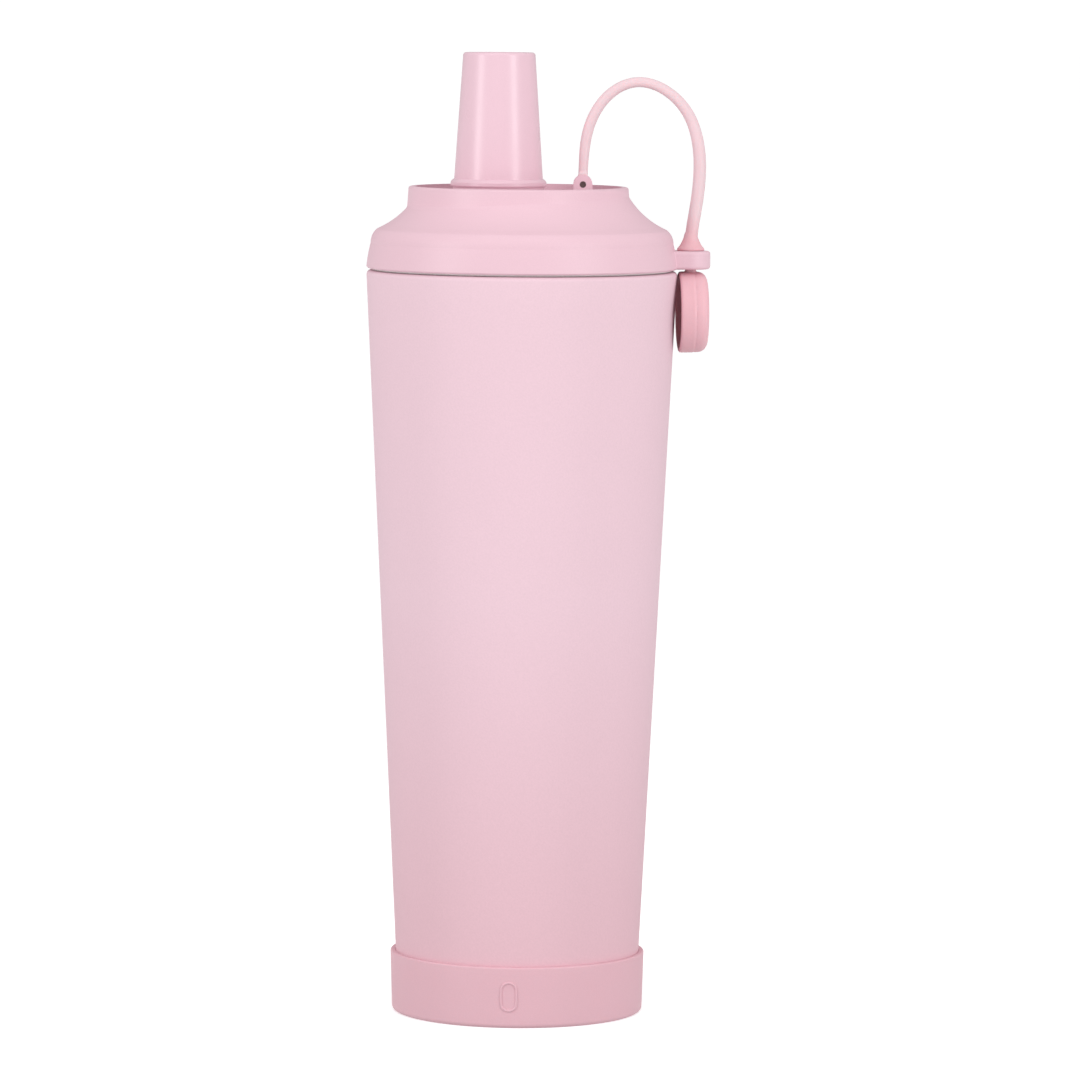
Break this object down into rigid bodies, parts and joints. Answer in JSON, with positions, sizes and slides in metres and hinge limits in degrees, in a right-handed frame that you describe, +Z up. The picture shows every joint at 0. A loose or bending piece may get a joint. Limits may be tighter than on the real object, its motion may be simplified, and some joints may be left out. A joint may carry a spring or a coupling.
{
  "type": "shaker bottle",
  "caption": "Insulated steel shaker tumbler with a screw lid, off-centre drinking spout, tethered spout cap and rubber boot.",
  "frame": {"origin": "on the bottle's axis, on the flat underside of the rubber boot", "axes": "+Z up along the bottle's axis, +X towards the tether and the parked cap, -Y the front with the raised mark"},
  "size_m": [0.0975, 0.0882, 0.273],
  "materials": {
    "coated_steel": "matte pink powder coat",
    "bare_steel": "brushed stainless steel",
    "boot_silicone": "matte pink silicone",
    "lid_plastic": "matte moulded plastic",
    "core_plastic": "moulded plastic, matte",
    "spout_plastic": "satin moulded plastic",
    "grid_plastic": "moulded plastic",
    "seal_silicone": "milky silicone",
    "strap_silicone": "soft-touch silicone",
    "cap_silicone": "soft-touch silicone",
    "glass_bead": "melted sealing glass",
    "getter_alloy": "sintered metal in a can"
  },
  "bodies": {
    "cup": {"outer_shell": "coated_steel", "inner_liner": "bare_steel", "outer_bottom": "bare_steel", "seal_bead": "glass_bead", "getter": "getter_alloy", "bottom_cover": "bare_steel", "boot": "boot_silicone"},
    "mixer": {"mixing_grid": "grid_plastic"},
    "lid_seal": {"lid_gasket": "seal_silicone"},
    "lid": {"lid_shell": "lid_plastic", "lid_core": "core_plastic", "spout": "spout_plastic", "spout_seal": "seal_silicone", "spout_nut": "core_plastic", "tether_pin": "bare_steel", "tether_strap": "strap_silicone"},
    "cap": {"spout_cap": "cap_silicone"}
  },
  "joints": [
    {"name": "lid_lift", "type": "slide", "parent": "cup", "child": "mixer", "axis": [0, 0, 1], "range_m": [0, 0.15]},
    {"name": "lid_rise", "type": "slide", "parent": "mixer", "child": "lid_seal", "axis": [0, 0, 1], "range_m": [0, 0.006]},
    {"name": "lid_turn", "type": "hinge", "parent": "lid_seal", "child": "lid", "pos_m": [0, 0, 0.212], "axis": [0, 0, 1], "range_deg": [0, 360]},
    {"name": "cap_swing", "type": "hinge", "parent": "lid", "child": "cap", "pos_m": [0.0478, 0, 0.2132], "axis": [0, -1, 0], "range_deg": [0, 12]}
  ],
  "couplings": [
    {"joint": "lid_rise", "follows": "lid_turn", "m_per_rad": 0.00095493}
  ]
}
